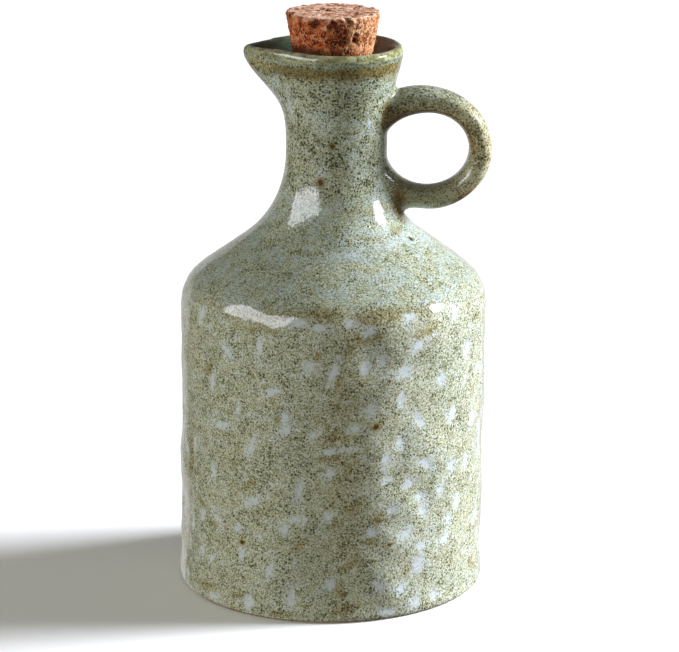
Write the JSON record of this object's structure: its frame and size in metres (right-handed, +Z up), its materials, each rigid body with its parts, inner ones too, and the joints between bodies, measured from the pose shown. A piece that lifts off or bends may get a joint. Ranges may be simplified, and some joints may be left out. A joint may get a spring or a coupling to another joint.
{
  "type": "oil dispenser",
  "caption": "Squat hand-formed stoneware oil bottle with a narrow neck, a pinched pouring lip, a ring handle and a tapered cork stopper.",
  "frame": {"origin": "middle of the flat base", "axes": "+Z up the bottle, -X towards the pouring lip, +X towards the handle"},
  "size_m": [0.0979, 0.096, 0.1812],
  "materials": {
    "glaze": "glossy mottled grey-green glaze with fine dark speckle and pale pools, bare clay at the foot",
    "cork": "matt pressed cork granules with dark pits"
  },
  "bodies": {
    "root": {"jug": "glaze", "cork": "cork"}
  },
  "joints": []
}
